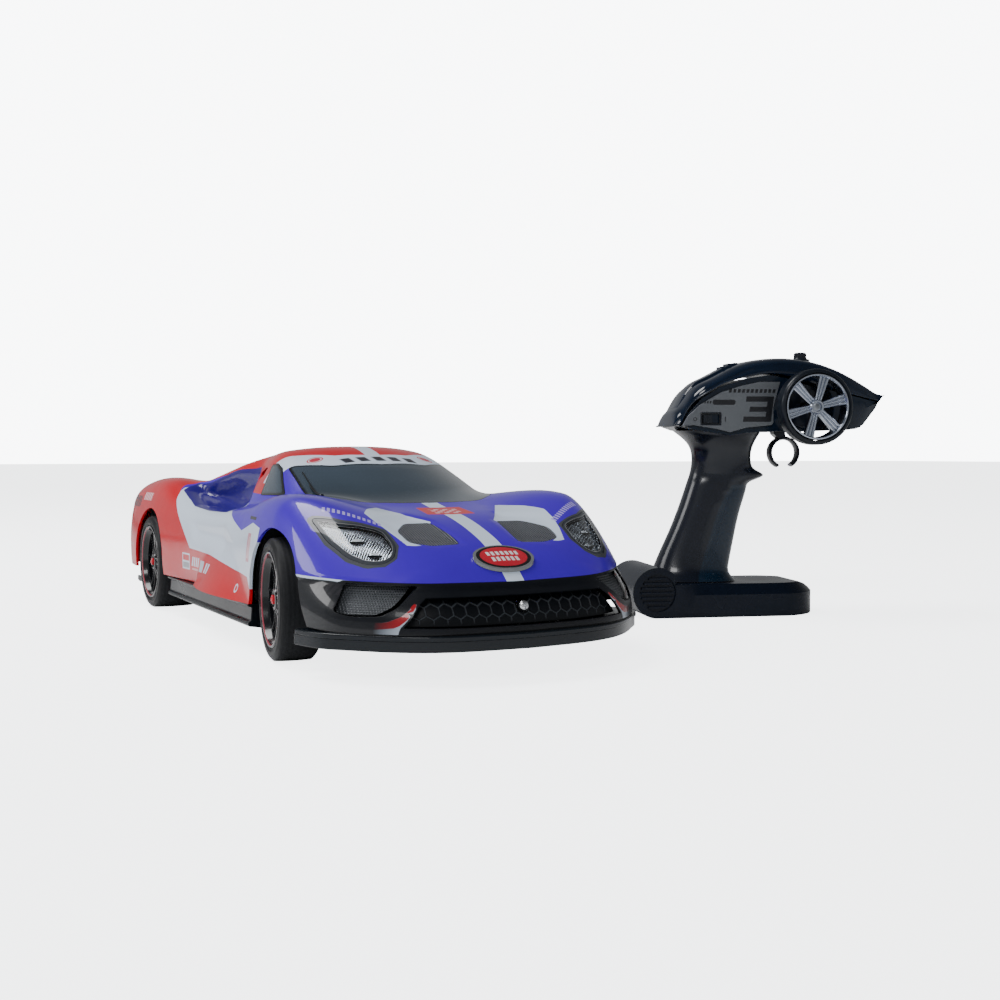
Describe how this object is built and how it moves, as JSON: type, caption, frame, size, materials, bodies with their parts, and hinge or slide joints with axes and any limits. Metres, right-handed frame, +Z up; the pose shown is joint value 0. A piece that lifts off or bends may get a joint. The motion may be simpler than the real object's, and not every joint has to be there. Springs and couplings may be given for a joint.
{
  "type": "remote control car",
  "caption": "Toy racing coupe with lift-off painted shell, steered front wheels and geared rear drive, with its pistol-grip radio handset carrying a steering wheel and finger trigger.",
  "frame": {"origin": "centre of the set's footprint, on the surface that the car and the handset stand on", "axes": "+X towards the car's nose, +Y towards the car's left side, where the handset stands, +Z up"},
  "size_m": [0.4756, 0.4701, 0.1812],
  "materials": {
    "shell_paint": "glossy clear-coated paint over moulded plastic",
    "dark_glass": "dark glossy window panel",
    "clear_lens": "clear polished lens",
    "bright_chrome": "vacuum-metallised plastic",
    "red_lens": "red polished lens",
    "grey_mesh": "fine mesh",
    "black_plastic": "satin moulded plastic",
    "badge_enamel": "printed dome label",
    "tyre_rubber": "matt rubber",
    "rim_black": "gloss black moulding",
    "steel": "plain steel",
    "brass": "machined",
    "white_nylon": "moulded nylon",
    "battery_wrap": "shrink wrap",
    "board_green": "solder mask",
    "silver_label": "silver printed panel",
    "handset_gloss": "piano gloss moulding",
    "handset_plastic": "semi-gloss moulding",
    "foam_tyre": "foam rubber"
  },
  "bodies": {
    "chassis": {"chassis_tray": "black_plastic", "front_splitter": "black_plastic", "side_skirt_left": "black_plastic", "side_skirt_right": "black_plastic", "rear_diffuser": "black_plastic", "front_axle_beam": "black_plastic", "steering_servo": "black_plastic", "gearbox_frame": "black_plastic", "drive_motor": "steel", "battery_pack": "battery_wrap", "circuit_board": "board_green"},
    "shell": {"body_shell": "shell_paint", "windscreen": "dark_glass", "rear_window": "dark_glass", "side_window_left": "dark_glass", "side_window_right": "dark_glass", "headlight_lens_left": "clear_lens", "headlight_lens_right": "clear_lens", "headlight_bowl_left": "bright_chrome", "headlight_bowl_right": "bright_chrome", "tail_light_left": "red_lens", "tail_light_right": "red_lens", "hood_vent_left": "grey_mesh", "hood_vent_right": "grey_mesh", "corner_intake_left": "grey_mesh", "corner_intake_right": "grey_mesh", "front_grille": "black_plastic", "nose_badge": "badge_enamel", "nose_screw": "steel"},
    "knuckle_right": {"steering_knuckle_right": "black_plastic"},
    "knuckle_left": {"steering_knuckle_left": "black_plastic"},
    "wheel_front_right": {"front_right_tyre": "tyre_rubber", "front_right_rim": "rim_black"},
    "wheel_front_left": {"front_left_tyre": "tyre_rubber", "front_left_rim": "rim_black"},
    "tie_rod": {"tie_rod": "steel"},
    "servo_horn": {"servo_horn": "black_plastic"},
    "rear_axle": {"rear_axle_shaft": "steel", "axle_gear": "white_nylon", "rear_left_tyre": "tyre_rubber", "rear_left_rim": "rim_black", "rear_right_tyre": "tyre_rubber", "rear_right_rim": "rim_black"},
    "pinion": {"motor_pinion": "brass"},
    "battery_door": {"battery_door": "black_plastic"},
    "power_switch": {"power_switch": "black_plastic"},
    "handset": {"handset_canopy": "handset_gloss", "handset_head": "handset_plastic", "label_panel": "silver_label", "handset_board": "board_green", "handset_grip": "handset_plastic", "handset_base": "handset_plastic"},
    "handset_wheel": {"handset_wheel_tyre": "foam_tyre", "handset_wheel_rim": "bright_chrome"},
    "trigger": {"handset_trigger": "handset_gloss"},
    "handset_switch": {"handset_switch": "handset_gloss"},
    "trim_knob": {"trim_knob": "handset_gloss"},
    "handset_battery_door": {"handset_battery_door": "handset_plastic"}
  },
  "joints": [
    {"name": "shell_lift", "type": "slide", "parent": "chassis", "child": "shell", "axis": [0, 0, 1], "range_m": [0, 0.1]},
    {"name": "steer_right", "type": "hinge", "parent": "chassis", "child": "knuckle_right", "pos_m": [0.1268, -0.1941, 0.033], "axis": [0, 0, 1], "range_deg": [-17.5, 32.5]},
    {"name": "steer_left", "type": "hinge", "parent": "chassis", "child": "knuckle_left", "pos_m": [0.1268, -0.0721, 0.033], "axis": [0, 0, 1], "range_deg": [-17.5, 32.5]},
    {"name": "tie_rod_slide", "type": "slide", "parent": "chassis", "child": "tie_rod", "axis": [0, 1, 0], "range_m": [-0.0103, 0.0056]},
    {"name": "servo_turn", "type": "hinge", "parent": "chassis", "child": "servo_horn", "pos_m": [0.0928, -0.1331, 0.03], "axis": [0, 0, 1], "range_deg": [-36.7, 19.8]},
    {"name": "front_right_spin", "type": "hinge", "parent": "knuckle_right", "child": "wheel_front_right", "pos_m": [0.1268, -0.1941, 0.033], "axis": [0.1305, 0.9914, 0], "continuous": true},
    {"name": "front_left_spin", "type": "hinge", "parent": "knuckle_left", "child": "wheel_front_left", "pos_m": [0.1268, -0.0721, 0.033], "axis": [0.1305, 0.9914, 0], "continuous": true},
    {"name": "rear_axle_spin", "type": "hinge", "parent": "chassis", "child": "rear_axle", "pos_m": [-0.1452, -0.1331, 0.033], "axis": [0, 1, 0], "continuous": true},
    {"name": "pinion_spin", "type": "hinge", "parent": "chassis", "child": "pinion", "pos_m": [-0.12347, -0.1331, 0.03842], "axis": [0, 1, 0], "continuous": true},
    {"name": "battery_door_swing", "type": "hinge", "parent": "chassis", "child": "battery_door", "pos_m": [-0.0662, -0.1331, 0.0105], "axis": [0, 1, 0], "range_deg": [0, 80]},
    {"name": "power_switch_slide", "type": "slide", "parent": "chassis", "child": "power_switch", "axis": [1, 0, 0], "range_m": [0, 0.004]},
    {"name": "handset_lift", "type": "slide", "parent": "chassis", "child": "handset", "axis": [0, 0, 1], "range_m": [0, 0.15]},
    {"name": "handset_wheel_turn", "type": "hinge", "parent": "handset", "child": "handset_wheel", "pos_m": [0.08241, 0.16473, 0.1415], "axis": [-0.9466, 0.3223, 0], "range_deg": [-35, 35], "stiffness_Nm_per_rad": 0.08},
    {"name": "trigger_pull", "type": "hinge", "parent": "handset", "child": "trigger", "pos_m": [0.07887, 0.15432, 0.134], "axis": [-0.9466, 0.3223, 0], "range_deg": [-12, 18], "stiffness_Nm_per_rad": 0.06},
    {"name": "handset_switch_slide", "type": "slide", "parent": "handset", "child": "handset_switch", "axis": [0.3223, 0.9466, 0], "range_m": [0, 0.004]},
    {"name": "trim_knob_turn", "type": "hinge", "parent": "handset", "child": "trim_knob", "pos_m": [0.08451, 0.17089, 0.176], "axis": [0, 0, 1], "range_deg": [-135, 135]},
    {"name": "handset_door_swing", "type": "hinge", "parent": "handset", "child": "handset_battery_door", "pos_m": [0.05373, 0.08048, 0.002], "axis": [-0.9466, 0.3223, 0], "range_deg": [0, 80]}
  ],
  "couplings": [
    {"joint": "steer_left", "follows": "steer_right", "ratio": 1},
    {"joint": "tie_rod_slide", "follows": "steer_right", "m_per_rad": -0.018},
    {"joint": "servo_turn", "follows": "steer_right", "ratio": -1.125},
    {"joint": "pinion_spin", "follows": "rear_axle_spin", "ratio": -3}
  ]
}
